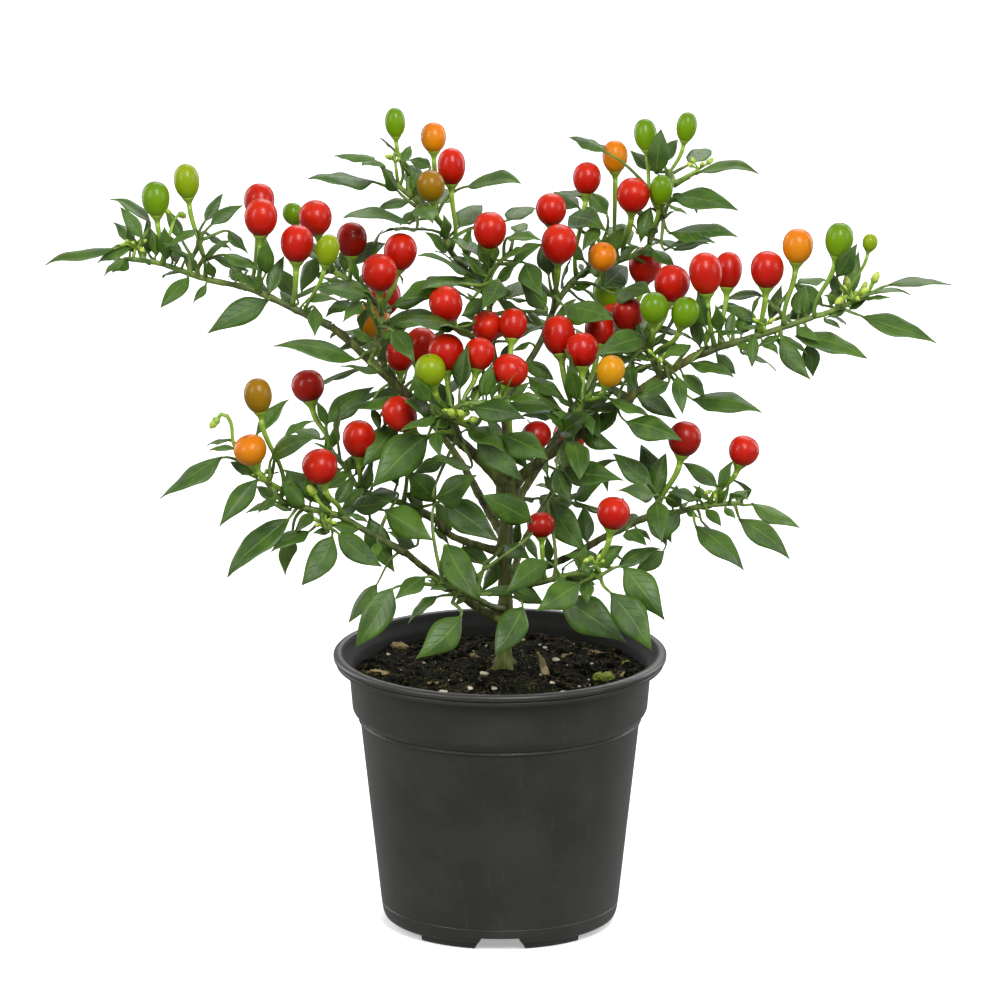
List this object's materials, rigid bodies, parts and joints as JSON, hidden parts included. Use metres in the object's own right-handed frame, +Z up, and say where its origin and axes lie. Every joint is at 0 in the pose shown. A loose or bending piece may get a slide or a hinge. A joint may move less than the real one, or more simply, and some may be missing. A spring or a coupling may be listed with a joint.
{
  "type": "potted chilli pepper plant",
  "caption": "Bushy ornamental chilli plant with upright glossy fruits in ripening colours, on a forked woody stem rooted in potting mix in a round black nursery pot.",
  "frame": {"origin": "centre of the pot's foot circle, on the ground", "axes": "+X to the viewer's right along the crown's widest spread, +Y away from the front, +Z up the stem"},
  "size_m": [0.3531, 0.1676, 0.319],
  "materials": {
    "bark": "green-brown young bark, matt",
    "fruit_dark": "glossy skin, fully ripe",
    "fruit_gold": "glossy skin",
    "fruit_maroon": "glossy skin, fully ripe",
    "fruit_olive": "glossy skin, half ripe",
    "fruit_orange": "glossy skin",
    "fruit_red": "glossy skin, ripe",
    "leaf": "living leaf, soft sheen",
    "pot_plastic": "moulded charcoal-black, dull satin",
    "potting_mix": "moist peat and bark, matt"
  },
  "bodies": {
    "root": {"pot": "pot_plastic", "soil": "potting_mix", "stem": "bark", "shoot_back_left": "leaf", "shoot_back_low": "leaf", "shoot_back_right": "leaf", "shoot_centre_left": "leaf", "shoot_centre_right": "leaf", "shoot_front_left": "leaf", "shoot_front_low": "leaf", "shoot_left_inner": "leaf", "shoot_left_tip": "leaf", "shoot_low_left": "leaf", "shoot_low_right": "leaf", "shoot_mid_left": "leaf", "shoot_middle": "leaf", "shoot_right_inner": "leaf", "shoot_right_tip": "leaf", "shoot_top_left": "leaf", "shoot_top_right": "leaf", "fruit_centre_left_2": "fruit_red", "fruit_centre_left_3": "fruit_red", "fruit_centre_left_4": "fruit_red", "fruit_centre_left_5": "fruit_red", "fruit_centre_left_6": "fruit_red", "fruit_centre_right_2": "fruit_red", "fruit_centre_right_3": "fruit_gold", "fruit_centre_right_4": "fruit_red", "fruit_front_low_1": "fruit_red", "fruit_front_low_2": "fruit_dark", "fruit_left_inner_2": "fruit_red", "fruit_left_inner_4": "fruit_red", "fruit_left_inner_5": "fruit_red", "fruit_left_tip_4": "fruit_red", "fruit_left_tip_5": "fruit_red", "fruit_low_left_1": "fruit_olive", "fruit_low_left_2": "fruit_orange", "fruit_low_left_3": "fruit_red", "fruit_low_right_1": "fruit_dark", "fruit_low_right_2": "fruit_red", "fruit_mid_left_1": "fruit_maroon", "fruit_mid_left_2": "fruit_red", "fruit_middle_1": "fruit_red", "fruit_middle_2": "fruit_red", "fruit_middle_3": "fruit_red", "fruit_right_inner_3": "fruit_red", "fruit_right_inner_4": "fruit_dark", "fruit_right_tip_3": "fruit_red", "fruit_right_tip_4": "fruit_red", "fruit_right_tip_5": "fruit_red", "fruit_right_tip_6": "fruit_orange", "fruit_top_left_2": "fruit_orange", "fruit_top_left_3": "fruit_red", "fruit_top_left_4": "fruit_olive", "fruit_top_right_4": "fruit_red", "fruit_top_right_5": "fruit_red", "fruit_top_right_6": "fruit_red", "fruit_top_right_7": "fruit_orange", "fruit_top_right_8": "fruit_red", "fruit_top_right_9": "fruit_orange"}
  },
  "joints": []
}
